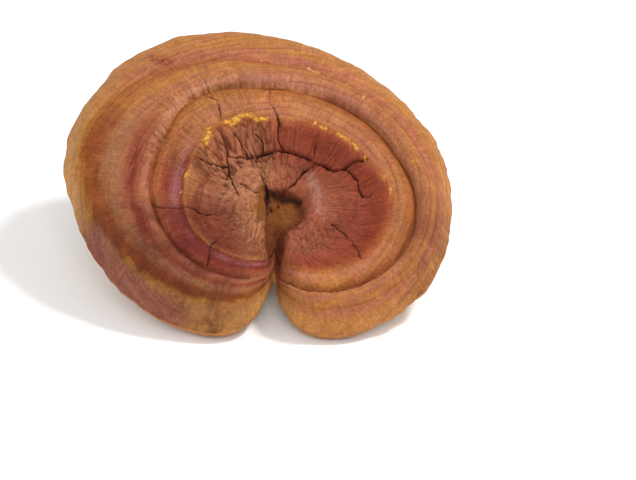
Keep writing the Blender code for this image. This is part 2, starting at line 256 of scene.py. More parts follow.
# %% Cracks
CRACKS = (
    # half width, depth, points
    (0.50, 1.9, (
        (-15.4, 23.7), (-11.1, 23.5), (-7.6, 25.6), (-3.2, 26.5), (2.1, 27.3), (6.5, 26.3),
        (11.8, 24.1), (15.8, 21.1), (19.2, 19.3), (22.7, 16.5), (27.1, 16.8), (30.5, 18.7), (36, 19),
    )),
    (0.30, 1.1, ((-29.5, 20), (-27, 19), (-24, 19), (-18.8, 19.4))),
    (0.30, 1.1, ((-21.7, 34), (-21.2, 29.8), (-19.5, 26.5), (-19.4, 23.5), (-18.6, 19.5), (-18.3, 15.5))),
    (0.28, 0.8, ((-18.3, 15.5), (-16, 9.5), (-14.2, 6))),
    (0.30, 0.8, ((-19.4, 23.5), (-15.4, 23.7))),
    (0.30, 1.0, ((-16.4, 33), (-14.2, 30.2), (-12.9, 27.9), (-11.1, 24.4))),
    (0.27, 0.9, ((-8, 32.7), (-5.9, 31.2), (-5, 30), (-5.4, 28.5), (-5, 26))),
    (0.19, 0.6, ((-2.9, 56), (-2.7, 46.6), (-0.7, 43.4), (0.7, 39))),
    (0.32, 1.1, ((0.7, 39), (1.2, 36), (0.5, 32.8), (1.2, 30), (3.4, 27.5))),
    (0.30, 0.9, ((16.1, 28.6), (15.3, 26.3), (14.9, 23.3), (15.5, 21))),
    (0.42, 1.5, ((14.9, 20.4), (11.8, 18.1), (9.6, 15.6), (7.9, 12.5), (4.4, 10.4), (2.6, 9.2))),
    (0.48, 1.6, ((-8, 23), (-6.6, 19), (-5.2, 15), (-3.9, 11.4), (-3.6, 8), (-3.4, 0))),
    (0.28, 0.8, ((-10.2, 24), (-9.5, 21), (-7.5, 17.6))),
    (0.28, 0.9, ((27.5, 16.7), (29.7, 14), (31.8, 10.7), (32.6, 6), (34.3, 3), (37, 2.5))),
    (0.28, 1.0, (
        (-48, -2), (-44, -4.4), (-39.4, -4.4), (-33.3, -3.7), (-30.4, -4), (-28.8, -5), (-26, -4.3),
        (-23.4, -3.3),
    )),
    (0.28, 0.8, ((-30, 52.5), (-27.4, 49.4), (-24, 47.3), (-22.8, 43), (-22, 38.5))),
    (0.26, 0.8, ((-13.9, 11.8), (-11.5, 10), (-9, 8.2), (-7.2, 7.7))),
    (0.24, 0.6, ((22, -8), (27, -12), (31, -20), (33, -28))),
    (0.24, 0.6, ((-20, -14), (-24, -22), (-25, -31))),
)
# the noises that bend the cracks in x and in y: how far and how long a bend in mm, and seed
WANDER_X, WANDER_Y = ((0.55, 3, 1), (0.22, 0.9, 21)), ((0.55, 3, 2), (0.22, 0.9, 22))
FINE_REACH = 1.3  # how far from a crack's middle line the faces are divided


def distance_to_path(x, y, path):
    """Distance of each point from a path of straight stretches."""
    nearest = np.full_like(x, np.inf)
    for start, end in zip(path, path[1:]):
        away_x, away_y = x - start[0], y - start[1]
        along_x, along_y = end[0] - start[0], end[1] - start[1]
        share = np.clip((away_x * along_x + away_y * along_y) / (along_x**2 + along_y**2), 0, 1)
        nearest = np.minimum(nearest, np.hypot(away_x - share * along_x, away_y - share * along_y))
    return nearest


def place_in_plane(flat):
    """Where the disc's points come to lie in the cap's plane, in mm."""
    number, angle = ring_and_angle(flat)
    radius = radius_of_ring(number, angle)
    return radius * np.cos(angle), radius * np.sin(angle)


def wandering(x, y):
    """Points moved a little by noise, so that a path read at them wavers."""
    here = in_plane(x, y)
    return x + sum_of_noises(here, WANDER_X), y + sum_of_noises(here, WANDER_Y)


def divide_beside_cracks(mesh):
    """Divides the upper side's edges that lie along the cracks, and counts them."""
    flat = np.array([vertex.co for vertex in mesh.verts])
    x, y = wandering(*place_in_plane(flat))
    near = np.zeros(len(x), bool)
    for _, _, path in CRACKS:
        near |= distance_to_path(x, y, path) < FINE_REACH
    near &= flat[:, 2] > 0
    edges = [edge for edge in mesh.edges if near[edge.verts[0].index] and near[edge.verts[1].index]]
    bmesh.ops.subdivide_edges(mesh, edges=edges, cuts=1, use_grid_fill=True)
    return len(edges)


disc.verts.index_update()
print("edges divided beside the cracks:", divide_beside_cracks(disc))

# %% [markdown]
# The relief is built up in layers, each a formula over the same points, because layers can be
# judged and changed one at a time. First come the main forms: the rings' profile, the furrows
# between rings, the swollen plate, the pit over the stem and the channel to the notch.

# %% The crust's main forms
RING_HEIGHTS = (
    # ring number and height in mm
    (0.00, -1.0), (0.40, -0.8), (0.60, -0.2), (0.76, 1.6), (0.92, 5.4), (1.00, 6.5),
    (1.12, 6.2), (1.50, 6.6), (1.80, 5.9), (2.00, 4.8), (2.25, 6.6), (2.60, 8.1), (3.00, 8.8),
    (3.30, 8.6), (3.75, 7.0), (4.00, 5.6), (4.25, 4.6), (4.60, 2.2), (5.00, -1.5),
)
GROOVES = (
    # ring number, depth, half width, and the angles in degrees between which it shows
    (2.00, 1.5, 1.4, -140, 108), (2.00, 0.8, 0.9, 122, 230), (4.00, 0.9, 1.1, 50, 172),
    (4.00, 0.5, 1.6, -60, 30), (3.22, 0.7, 1.3, 138, 200), (3.38, 0.5, 0.9, -30, 130),
    (4.36, 0.5, 1.3, -20, 165), (4.66, 0.4, 1.1, 10, 150),
    (4.84, 0.3, 0.9, 100, 220), (3.66, 0.4, 1.2, 140, 215), (1.20, 0.5, 0.9, 120, 215),
    (1.45, 0.4, 0.8, 140, 212), (0.90, 0.6, 0.9, 150, 215), (0.78, 0.5, 0.9, 155, 215),
    (1.72, 0.4, 0.9, -20, 200),
)
GROOVE_FADE = 18  # degrees
GROOVE_WAVER, GROOVE_LUMPS_ROUND = 0.55, 11  # how much a groove's depth varies along it, and how often
FURROW_FILL, FURROW_FILL_REACH = 1.2, 0.5  # the furrow is shallower between these degrees
FURROW_FILL_FROM, FURROW_FILL_TO, FURROW_FILL_FADE = 132, 235, 25
# the pit's middle, its half widths to the left, to the right and to the back, and its depth
PIT_CENTRE, PIT_LEFT, PIT_RIGHT, PIT_ALONG, PIT_DEPTH = (2.0, 0.5), 5.6, 9.6, 8.2, 8.4
PIT_FLATNESS = 1.7  # above 1 the pit's floor is flatter and its walls steeper
CHANNEL_HALF_WIDTH, CHANNEL_LEVEL, CHANNEL_FROM, CHANNEL_FULL = 3.6, -9.0, 2, -10
SWELLING_CENTRE, SWELLING_RADII, SWELLING_RISE = (20.5, 5.5), (10.0, 10.5), 4.6
NOTCH_TURN = -91  # degrees; angles are counted once round from the notch


def window(low, high, soft, value):
    """1 between two values and 0 outside them, with soft ends."""
    return step(low - soft, low, value) * step(high + soft, high, value)


def groove_relief(angle, radius):
    """Height that the furrows between rings take away: sharp valleys that follow a ring."""
    height = np.zeros_like(radius)
    turn = (np.degrees(angle) - NOTCH_TURN) % 360 + NOTCH_TURN
    for number, depth, half_width, first, last in GROOVES:
        ring = np.full_like(radius, number)
        off = np.abs(radius - radius_of_ring(ring, angle))
        waver = 1 + GROOVE_WAVER * noise_at(round_the_rings(angle, GROOVE_LUMPS_ROUND, ring, 0.3), 16)
        height -= waver * depth * np.exp(-off / half_width) * window(first, last, GROOVE_FADE, turn)
    return height


def main_forms(number, angle, x, y):
    """Height of the rings' profile, the swelling, the pit and the channel."""
    height = smooth_curve(RING_HEIGHTS, number)
    filled = window(FURROW_FILL_FROM, FURROW_FILL_TO, FURROW_FILL_FADE, np.degrees(angle) % 360)
    height += FURROW_FILL * filled * bump((number - 2) / FURROW_FILL_REACH)
    (middle_x, middle_y), (half_x, half_y) = SWELLING_CENTRE, SWELLING_RADII
    height += SWELLING_RISE * bump(np.hypot((x - middle_x) / half_x, (y - middle_y) / half_y))
    from_pit = x - PIT_CENTRE[0]
    pit = np.hypot(from_pit / np.where(from_pit < 0, PIT_LEFT, PIT_RIGHT), (y - PIT_CENTRE[1]) / PIT_ALONG)
    height -= PIT_DEPTH * bump(pit**PIT_FLATNESS)
    channel = bump(x / CHANNEL_HALF_WIDTH) * step(CHANNEL_FROM, CHANNEL_FULL, y)
    return height + (np.minimum(height, CHANNEL_LEVEL) - height) * channel


print("furrows:", len(GROOVES), "pit:", PIT_DEPTH, "mm deep")

# %% [markdown]
# Over the stem the crust has sunk. The plates left of the pit stand higher than it, a flat knob
# with two holes sits at its bottom, and the plates beside each crack curl down towards it.

# %% The pit's details and the cracks' relief
PIT_WALL = ((-3.6, -3), (-3.7, 8.5), (-4.5, 13.5), (-5.8, 18.5), (-7.4, 24))
PIT_WALL_RISE, PIT_WALL_REACH = 1.8, 10
PIT_WALL_FOOT, PIT_WALL_TOP = -0.5, 0.9  # how far left of the line it begins and is full
PIT_WALL_FROM, PIT_WALL_TO, PIT_WALL_FADE = -4, 23, 4
KNOB_CENTRE, KNOB_RADIUS, KNOB_RISE = (2.6, 0.2), 6.2, 3.4
KNOB_LUMPS = (0.22, 1.3, 23)  # share of the knob's rise, length of a lump and seed
KNOB_HOLES = ((0.9, (-2.0, 2.4)), (0.5, (0.9, 4.3)))  # radius and place
KNOB_HOLE_DEPTH = 1.8
# how a crack's width varies along it: share, length and seed, and its least and greatest share
CRACK_OPENING, NARROWEST, WIDEST = (0.9, 4.5, 15), 0.45, 1.5
PLATE_EDGE = 2.2  # how far from a crack the plates beside it begin to curl down
PLATE_CURL = 1.25


def knob_share(x, y):
    """How much each point lies on the flat knob at the pit's bottom."""
    return bump((np.hypot(x - KNOB_CENTRE[0], y - KNOB_CENTRE[1]) / KNOB_RADIUS) ** 2)


def pit_details(x, y):
    """The higher plates left of the pit, and the knob with its holes at the pit's bottom."""
    wall_x, wall_y = np.array(PIT_WALL).T
    left = np.interp(y, wall_y, wall_x) - x
    fading = np.exp(-np.clip(left, 0, None) / PIT_WALL_REACH)
    left_plates = step(PIT_WALL_FOOT, PIT_WALL_TOP, left) * fading
    left_plates *= window(PIT_WALL_FROM, PIT_WALL_TO, PIT_WALL_FADE, y)
    knob = knob_share(x, y) * (1 + sum_of_noises(in_plane(x, y), [KNOB_LUMPS]))
    holes = sum(bump(np.hypot(x - hole[0], y - hole[1]) / radius) for radius, hole in KNOB_HOLES)
    return PIT_WALL_RISE * left_plates + KNOB_RISE * knob - KNOB_HOLE_DEPTH * holes


def crack_relief(x, y):
    """Height that the cracks take away, and how much each point lies in one, from 0 to 1."""
    x, y = wandering(x, y)
    height, inside, curl = np.zeros_like(x), np.zeros_like(x), np.zeros_like(x)
    opened = np.clip(1.0 + sum_of_noises(in_plane(x, y), [CRACK_OPENING]), NARROWEST, WIDEST)
    for half_width, depth, path in CRACKS:
        distance = distance_to_path(x, y, path)
        core = bump(distance / (half_width * opened)) * np.clip(opened, 0, 1)
        inside = np.maximum(inside, core)
        height = np.minimum(height, -depth * core)
        curl = np.maximum(curl, depth / 2 * np.exp(-distance / PLATE_EDGE))
    return height - PLATE_CURL * curl, inside


print("holes in the knob:", len(KNOB_HOLES), "cracks:", len(CRACKS))

# %% [markdown]
# Drying pulled wrinkles into the crust: rays down the bowl's wall, a net on its plates, and low
# ripples along the rings outside. A noise has a winding line where it passes through zero, and
# that line, made a narrow valley, is a wrinkle; a stretched noise gives long ones side by side.

# %% Wrinkles
# noises: height and length of a lump in mm, and seed
LUMPS = ((0.5, 17, 3), (0.22, 6, 4))
KNOBBLY = ((0.4, 3.2, 20), (0.34, 1.3, 26))
# ripples along the rings: height, lumps round the cap, their length across the rings, and seed
WIDE_RIPPLE, FINE_RIPPLE = (0.5, 9, 4.2, 5), (0.22, 14, 1.6, 6)
BOWL_WRINKLE, WALL_WRINKLE, PLATE_WRINKLE = 1.3, 0.4, 0.65  # depths in mm
BOWL_RAYS, BOWL_RAY_LENGTH, BOWL_RAY_WIDTH = 74, 11, 0.42  # how many go round the cap, and how long
WALL_RAYS, WALL_RAY_LENGTH = 210, 8
NET_SIZE, FINE_NET_SIZE, FINE_NET_SHARE, NET_WIDTH = (2.4, 4.2, 1), 1.6, 0.5, 0.4
WARP, WARP_LENGTH, RAY_WARP = 1.2, 5, 0.14  # a noise that bends the others
KNOB_SMOOTHNESS, ON_SWELLING = 0.8, 0.2  # shares of the net: lost on the knob, left on the swelling


def wrinkle_relief(number, angle, radius, x, y):
    """Lumps, fine rings and radial wrinkles, and how deep each point lies in a wrinkle."""
    here = in_plane(x, y)
    turned = np.degrees(angle) % 360
    ripples = [
        noise_at(round_the_rings(angle, lumps_round, radius, length), seed) * height * step(0.9, 1.2, number)
        for height, lumps_round, length, seed in (WIDE_RIPPLE, FINE_RIPPLE)
    ]
    warped = here + WARP * in_plane(noise_at(here / WARP_LENGTH, 18), noise_at(here / WARP_LENGTH, 19))
    bowl = window(0.62, 0.98, 0.08, number) * window(20, 150, 14, turned)
    bowl *= 0.3 + 0.7 * step(75, 100, turned)  # weaker at the right
    bowl_rays = round_the_rings(angle, BOWL_RAYS, radius, BOWL_RAY_LENGTH) + RAY_WARP * warped
    wall = window(2.1, 2.9, 0.15, number)
    wall_rays = round_the_rings(angle, WALL_RAYS, radius, WALL_RAY_LENGTH)
    off_swelling = step(8, 16, np.hypot(x - SWELLING_CENTRE[0], y - SWELLING_CENTRE[1]))
    plates = step(0.74, 0.6, number) * (1 - KNOB_SMOOTHNESS * knob_share(x, y))
    plates *= ON_SWELLING + (1 - ON_SWELLING) * off_swelling
    net = creases(noise_at(warped / NET_SIZE, 9), NET_WIDTH)
    net += FINE_NET_SHARE * creases(noise_at(warped / FINE_NET_SIZE, 14), NET_WIDTH)
    creased = BOWL_WRINKLE * bowl * creases(noise_at(bowl_rays, 7), BOWL_RAY_WIDTH)
    creased += WALL_WRINKLE * wall * creases(noise_at(wall_rays, 8))
    creased += PLATE_WRINKLE * plates * net
    lumps = sum_of_noises(here, LUMPS)
    lumps += sum_of_noises(warped, KNOBBLY) * step(1.0, 0.85, number) * step(6, -6, x)
    return lumps + (ripples[0] * step(2.9, 3.4, number) + ripples[1]) - creased, creased


print("wrinkles: rays down the bowl", BOWL_WRINKLE, "mm deep, net on the plates", PLATE_WRINKLE, "mm")

# %% [markdown]
# The margin is rounded like a lip. How far in a point lies is measured square to the outline, not
# along the ring's radius, so that the lip keeps its shape where the outline turns into the notch.
# The rim isn't a perfect curve either: it grew in small scallops.

# %% The margin and the underside
MARGIN_LEVEL = -5.5  # height of the widest line round the cap
LEAST_LIP = 2.2  # how far the crust at least stands above that line
MARGIN_WIDTH, LOBE_ROLL, UNDER_MARGIN_WIDTH = 8.0, 8.0, 5.0
PORE_LEVEL, PORE_BELLY, PORE_FLAT_RADIUS = -9.5, 4.0, 21.0
SCALLOPS_ROUND, SCALLOP_DEPTH, FINE_SCALLOP_SHARE = 46, 1.0, 0.45
BULGE_RISE, BULGE_FROM, BULGE_TO, BULGE_FADE = 1.1, 158, 172, 5
LEDGE_FROM, LEDGE_TO, LEDGE_FADE = math.radians(193), math.radians(232), math.radians(8)
LEDGE_INSET, LEDGE_DROP, LEDGE_GROOVE_DEPTH, LEDGE_GROOVE_HALF_WIDTH = 5.0, 1.6, 1.6, 0.8
OUTLINE_POINTS = 720


def scallops(number, angle):
    """How far the rim and the rings near it stand out from their smooth curves."""
    level = np.zeros_like(angle)
    waves = noise_at(round_the_rings(angle, SCALLOPS_ROUND, level, 1), 10)
    waves += FINE_SCALLOP_SHARE * noise_at(round_the_rings(angle, 3 * SCALLOPS_ROUND, level, 1), 17)
    bulge = BULGE_RISE * window(BULGE_FROM, BULGE_TO, BULGE_FADE, np.degrees(angle) % 360)
    return (SCALLOP_DEPTH * waves * step(0.25, 0.5, from_notch(angle)) + bulge) * step(4.0, 5.0, number)


def distance_inside(x, y):
    """Distance of each point from the cap's outline."""
    angle = np.linspace(0, TAU, OUTLINE_POINTS, endpoint=False)
    radius = ring_radii(angle)[-1] + scallops(np.full_like(angle, RIM_NUMBER), angle)
    outline = list(zip(radius * np.cos(angle), radius * np.sin(angle)))
    return distance_to_path(x, y, [*outline, outline[0]])


def quarter_round(margin, width):
    """Share of the lip's height, 0 at the rim and 1 from a width inside it."""
    left = 1 - np.clip(margin / width, 0, 1)
    return np.sqrt(1 - left * left)


def ledge_relief(angle, margin):
    """The groove and the lower layer that show along the rim at the lower left."""
    on_ledge = window(LEDGE_FROM, LEDGE_TO, LEDGE_FADE, angle % TAU)
    inset = LEDGE_INSET * window(LEDGE_FROM, LEDGE_TO, 2 * LEDGE_FADE, angle % TAU)
    groove = bump((margin - inset) / LEDGE_GROOVE_HALF_WIDTH)
    below = step(inset, inset - LEDGE_GROOVE_HALF_WIDTH, margin)
    return on_ledge * (LEDGE_GROOVE_DEPTH * groove + LEDGE_DROP * below), on_ledge * np.maximum(groove, below)


print("the lip is", MARGIN_WIDTH, "mm wide above and", UNDER_MARGIN_WIDTH, "mm below")

# %% [markdown]
# A material can't know by itself where the crust is torn or dark, so each such place is drawn as
# a mask: a number from 0 to 1 at every point. Some masks follow short paths in the cap's plane,
# others lie between two rings and two angles, or along a line of one ring.

# %% Masks for the crust's colours
TORN_PATHS = (
    # radius and points of the places along the crest where yellow flesh shows
    (2.7, ((-19.4, 36.3), (-17.4, 36.9), (-15.1, 38.2))),
    (2.1, ((-14.2, 39.6), (-12.7, 40.5), (-10.3, 39.9))),
    (1.6, ((-10.3, 39.9), (-7.4, 38.2), (-4.0, 38.0))),
    (2.5, ((-27.0, 33.0), (-26.2, 30.5), (-27.4, 28.4))),
    (1.5, ((24.6, 30.6), (27.0, 28.9), (29.0, 27.4))),
    (1.5, ((30.4, 26.0), (32.2, 23.8))), (1.2, ((-28.6, 27.4), (-26.6, 26.2))),
    (1.2, ((15.0, 35.2), (16.0, 36.3))), (1.1, ((17.5, 34.0), (20.2, 33.2))),
    (1.1, ((35.4, 20.0), (36.4, 19.0))), (1.0, ((42.0, 10.4), (42.4, 9.0))),
    (1.0, ((-34.8, 10.2), (-34.2, 11.6))), (0.8, ((-36.2, 2.6), (-36.1, 3.2))),
    (0.8, ((44.6, 4.4), (44.8, 2.0))),
)
PATHS = {
    "torn": TORN_PATHS,
    "scar": (
        (1.1, ((34.7, 46.5), (36.0, 52.0))), (1.3, ((12.7, 65.0), (15.0, 62.8), (17.5, 61.7))),
        (0.8, ((-76.2, 28.8), (-75.9, 27.4))),
    ),
    "bruise": ((2.4, ((-51.0, 71.6), (-47.6, 69.0), (-44.3, 67.5))),),
    "dust": ((4.2, ((13.2, 15.5), (14.8, 11.7), (15.9, 6.2), (16.7, 1.7), (17.5, -2.2))),),
    "pit_side": ((1.7, ((-5.0, 9.0), (-5.4, 3.0), (-5.6, -4.0))),),
}
# painted shadow under the pit's upper edge and in the slot at its left, as radius and points
PIT_EDGE_SHADOW_PATHS = (
    (2.0, ((-3.0, 8.8), (1.0, 8.2), (3.4, 7.0))), (1.3, ((3.4, 7.0), (7.0, 6.4), (9.6, 4.2))),
    (1.0, ((-3.2, 9.0), (-2.9, 5.0))),
    # painted shade in the knob's two holes
    (0.9, ((-2.0, 2.4), (-2.0, 2.3))), (0.5, ((0.9, 4.3), (0.9, 4.2))),
)
ZONES = (
    # name, then from, to and softness of the ring numbers and of the angles in degrees
    # painted light: the furrow's upper wall at the back is lightened, though the lamps leave it in shade
    ("wall", (2.3, 2.8, 0.2), (60, 150, 30)),
    ("wall_foot", (2.02, 2.2, 0.16), (40, 170, 25)),
    ("low_ridge", (1.2, 1.94, 0.16), (194, 246, 14)),
    ("specks", (1.3, 2.9, 0.4), (112, 158, 18)),
)
RING_LINES = (
    # name, ring number and half width, then from, to and softness of the angles
    ("edge_line", (1.92, 0.05), (40, 190, 25)),
    ("outer_line", (3.78, 0.1), (40, 130, 20)),
)
BOWL_FLOOR = 0.55  # the ring number out to which the bowl's floor reaches


def near_paths(x, y, paths):
    """How much each point lies near one of several paths, from 0 to 1."""
    return np.max([bump(distance_to_path(x, y, path) / radius) for radius, path in paths], axis=0)


def placed_masks(number, angle, x, y):
    """The masks that only a point's place decides."""
    turned = np.degrees(angle) % 360
    from_right = (turned + 180) % 360 - 180
    masks = {name: near_paths(x, y, paths) for name, paths in PATHS.items()}
    masks["pit_edge_shadow"] = near_paths(*wandering(x, y), PIT_EDGE_SHADOW_PATHS)
    for name, rings, angles in ZONES:
        masks[name] = window(*rings, number) * window(*angles, turned)
    for name, (ring, half_width), angles in RING_LINES:
        masks[name] = bump((number - ring) / half_width) * window(*angles, turned)
    bowl_wall = step(0.3, 0.6, number) * step(1.02, 0.9, number)
    # painted shade in the furrows at the right, which face away from the key light
    in_furrows = np.maximum(bump((number - 2.1) / 0.5), 0.6 * bump((number - 3.42) / 0.14))
    behind = window(60, 132, 16, turned) * step(0.5, 0.75, number)
    masks |= {
        "left": window(158, 262, 30, turned) * step(0.55, 0.8, number),
        "left_plates": step(4, -8, x) * step(1.0, 0.9, number) * (1 - 0.45 * behind),
        # painted shade on the lower plates left of the pit, where they roll down
        "low_plates_shade": step(8, -4, y) * step(-6, -18, x) * step(1.05, 0.95, number),
        "low": step(9, -16, y) * (step(5, -25, x) + 0.8 * step(40, 62, x)) * step(0.5, 1.0, number),
        "furrow_shade": window(-50, 62, 16, from_right) * in_furrows,
        "bowl_wall": bowl_wall,
        "right_wall": bowl_wall * window(-30, 62, 20, from_right),
        "rayed": np.maximum(masks["specks"], bowl_wall),
        "knob": knob_share(x, y),
    }
    return masks


print("masks drawn by paths, zones and lines:", len(PATHS) + 1 + len(ZONES) + len(RING_LINES))

# %% [markdown]
# Now every point of the disc is moved to its place, and what the material has to know about it is
# kept on the mesh: its masks, its ring number, and a set of coordinates that run round and across
# the rings and go on down the rim, so that a pattern which follows the rings doesn't smear there.

# %% Shape the cap
CAP_TILT = math.radians(30)
FRAY_HEIGHT, FRAY_LENGTH = 0.9, 0.9
LEAST_HEIGHT = 0.2  # above the surface that the mushroom stands on
PATTERN_RADIUS = 40  # patterns run round the rings as if all had this radius, in mm


def to_standing(x, y, z):
    """Leans points of the cap's plane back about the hollow and lifts them to its height."""
    cos, sin = math.cos(CAP_TILT), math.sin(CAP_TILT)
    return np.stack([x, y * cos - z * sin, y * sin + z * cos], axis=1) + np.array(HOLLOW)


def shape_cap(flat):
    """Places of the disc's points in the model, in mm, their masks, and their ring coordinates."""
    number, angle = ring_and_angle(flat)
    radius = radius_of_ring(number, angle) + scallops(number, angle)
    x, y = radius * np.cos(angle), radius * np.sin(angle)
    margin = distance_inside(x, y)
    masks = placed_masks(number, angle, x, y)
    cracked, masks["crack"] = crack_relief(x, y)
    wrinkled, masks["wrinkle"] = wrinkle_relief(number, angle, radius, x, y)
    ledge, masks["lower_layer"] = ledge_relief(angle, margin)
    crust = main_forms(number, angle, x, y) + groove_relief(angle, radius) + pit_details(x, y)
    open_flesh = np.maximum(masks["torn"], masks["scar"])
    frayed = FRAY_HEIGHT * open_flesh * noise_at(in_plane(x, y) / FRAY_LENGTH, 11)
    crust += cracked + wrinkled - ledge + frayed
    # painted shade: the depth mask darkens the crust the deeper it lies in the pit
    masks["depth"] = step(-1.5, -5.0, crust) * step(2.0, BOWL_FLOOR, number)
    widest = np.minimum(MARGIN_LEVEL, crust - LEAST_LIP)
    belly = 1 - step(PORE_FLAT_RADIUS, max(RIM), radius)
    pores = PORE_LEVEL - PORE_BELLY * belly
    roll = LOBE_ROLL * bump(from_notch(angle) / (2 * LOBE_HALF_WIDTH))
    above = widest + (crust - widest) * quarter_round(margin, MARGIN_WIDTH + roll)
    below = widest + (pores - widest) * quarter_round(margin, UNDER_MARGIN_WIDTH)
    upper = flat[:, 2] > 0
    masks = {name: mask * upper for name, mask in masks.items()}
    masks["ring"], masks["off_bowl"] = number, step(0.9, 1.1, number)
    strength = 0.25 + 0.75 * step(-0.2, 0.2, noise_at(round_the_rings(angle, 12, radius, 3.6), 25))
    masks["terraced"] = masks["off_bowl"] * strength * step(0.4, 1.0, from_notch(angle))
    height = np.where(upper, above, below)
    round_x, round_y = PATTERN_RADIUS * np.cos(angle), PATTERN_RADIUS * np.sin(angle)
    return to_standing(x, y, height), masks, np.stack([round_x, round_y, radius + crust - height], axis=1)


def mesh_object(name, mesh):
    """A bmesh made an object in the scene."""
    data = bpy.data.meshes.new(name)
    mesh.to_mesh(data)
    mesh.free()
    made = bpy.data.objects.new(name, data)
    bpy.context.scene.collection.objects.link(made)
    return made


def points_of(data):
    """A mesh's points, one to a row."""
    points = np.zeros(3 * len(data.vertices))
    data.vertices.foreach_get("co", points)
    return points.reshape(-1, 3)


def keep_mask(data, name, values):
    """Keeps one number for each point on a mesh, where a material can read it by name."""
    data.attributes.new(name, "FLOAT", "POINT").data.foreach_set("value", np.ascontiguousarray(values, float))


cap = mesh_object("reishi_cap", disc)
flat_points = points_of(cap.data)
cap_points, cap_masks, cap_rings = shape_cap(flat_points)
cap_points[:, 2] = np.maximum(cap_points[:, 2], LEAST_HEIGHT)
cap.data.vertices.foreach_set("co", (cap_points * MM).ravel())
for mask_name, mask_values in cap_masks.items():
    keep_mask(cap.data, mask_name, mask_values)
cap.data.attributes.new("rings", "FLOAT_VECTOR", "POINT").data.foreach_set("vector", cap_rings.ravel())
cap.data.shade_smooth()
cap.data.update()
print("cap:", len(cap.data.polygons), "faces, lowest point at", round(cap_points[:, 2].min(), 2), "mm")

# %% [markdown]
# The stem is as hard and varnished as the crust. It flares where it meets the cap, narrows, and is
# cut off level, which shows its fibrous flesh. A cylinder with many rings of points is enough: its
# top follows the cap's underside, its foot the surface, and long wrinkles run up its side.

# %% Shape the stem
STEM_TOP_RADIUS, STEM_WAIST_RADIUS, STEM_CUT_RADII = 18.5, 12.8, (15.0, 16.5)
STEM_TOP_CENTRE = (0.5, 1.5)
# waves round the stem, their phase, and their share of its radius
STEM_LUMPS = ((2, 0.7, 0.050), (3, 2.1, 0.035), (5, 4.0, 0.022))
STEM_COLUMNS, STEM_RINGS = 240, 90
STEM_INSETS = (0.02, 0.06, 0.12, 0.2, 0.2, 0.2)  # steps from the side to the middle of each end
STEM_LENGTH = 30  # rough, in mm; it only gives the wrinkles their length
STEM_WRINKLES_ROUND, STEM_RINGS_ROUND = 46, 5
STEM_WRINKLE_DEPTH, STEM_RING_HEIGHT = 0.035, 0.03  # shares of the radius
STEM_SHARP_ANGLE = math.radians(50)
JOINT_GAP = 0.3


def stem_cylinder():
    """A cylinder 1 high about the origin, its side and its two ends divided into rings."""
    mesh = bmesh.new()
    bmesh.ops.create_cone(
        mesh, cap_ends=True, cap_tris=False, segments=STEM_COLUMNS, radius1=1, radius2=1, depth=1
    )
    sides = [edge for edge in mesh.edges if abs(edge.verts[0].co.z - edge.verts[1].co.z) > 0.5]
    bmesh.ops.subdivide_edges(mesh, edges=sides, cuts=STEM_RINGS - 1, use_grid_fill=True)
    ends = [face for face in mesh.faces if len(face.verts) == STEM_COLUMNS]
    for inset in STEM_INSETS:
        bmesh.ops.inset_region(mesh, faces=ends, thickness=inset, use_even_offset=False)
    return mesh


def shape_stem(plain):
    """Places of the cylinder's points in the model, in mm, and how deep each lies in a wrinkle."""
    height, across = np.clip(plain[:, 2] + 0.5, 0, 1), np.hypot(plain[:, 0], plain[:, 1])
    angle = np.arctan2(plain[:, 1], plain[:, 0])
    lumps = across * (1 + sum(share * np.cos(waves * angle + phase) for waves, phase, share in STEM_LUMPS))
    top = to_standing(
        STEM_TOP_CENTRE[0] + STEM_TOP_RADIUS * lumps * np.cos(angle),
        STEM_TOP_CENTRE[1] + STEM_TOP_RADIUS * lumps * np.sin(angle),
        np.full_like(across, PORE_LEVEL - PORE_BELLY - JOINT_GAP),
    )
    foot = in_plane(lumps * STEM_CUT_RADII[0] * np.cos(angle), lumps * STEM_CUT_RADII[1] * np.sin(angle))
    points = foot + (top - foot) * height[:, None]
    middle = foot.mean(axis=0) + (top.mean(axis=0) - foot.mean(axis=0)) * height[:, None]
    wide = STEM_CUT_RADII[0] + (STEM_TOP_RADIUS - STEM_CUT_RADII[0]) * height
    narrowing = 1 + (STEM_WAIST_RADIUS / wide - 1) * np.sin(math.pi * height**0.9) ** 2
    side = step(0.0, 0.04, height) * step(1.0, 0.96, height)
    along = height * STEM_LENGTH
    wrinkles = creases(noise_at(round_the_rings(angle, STEM_WRINKLES_ROUND, along, 16), 12)) * side
    rings = noise_at(round_the_rings(angle, STEM_RINGS_ROUND, along, 4), 13) * side
    narrowing *= 1 - STEM_WRINKLE_DEPTH * wrinkles + STEM_RING_HEIGHT * rings
    return middle + (points - middle) * narrowing[:, None], wrinkles


stem = mesh_object("reishi_stem", stem_cylinder())
stem_points, stem_wrinkles = shape_stem(points_of(stem.data))
stem.data.vertices.foreach_set("co", (stem_points * MM).ravel())
keep_mask(stem.data, "wrinkle", stem_wrinkles)
stem.data.shade_smooth()
stem.data.set_sharp_from_angle(angle=STEM_SHARP_ANGLE)
stem.data.update()
print("stem:", len(stem.data.polygons), "faces")

# %% [markdown]
# Each material is a small tree of nodes. Colours are written as sRGB hex values, the way a
# colour picker shows them, and turned to the linear values that the shader wants.


# %% Helpers for materials
def linear(hex_colour):
    """Linear RGBA of an sRGB hex colour."""
    shares = [int(hex_colour[place:place + 2], 16) / 255 for place in (1, 3, 5)]
    return (*(s / 12.92 if s <= 0.04045 else ((s + 0.055) / 1.055) ** 2.4 for s in shares), 1)


def add_node(tree, kind, inputs=None, stops=None, **settings):
    """Adds a shader node with its settings, and sets or links its inputs. Stops are a ramp's colours."""
    node = tree.nodes.new("ShaderNode" + kind)
    for name, value in settings.items():
        setattr(node, name, value)
    for name, value in (inputs or {}).items():
        if isinstance(value, bpy.types.NodeSocket):
            tree.links.new(value, node.inputs[name])
        else:
            node.inputs[name].default_value = value
    for place, (position, colour) in enumerate(stops or ()):
        elements = node.color_ramp.elements
        element = elements[place] if place < 2 else elements.new(position)
        element.position, element.color = position, linear(colour)
    return node


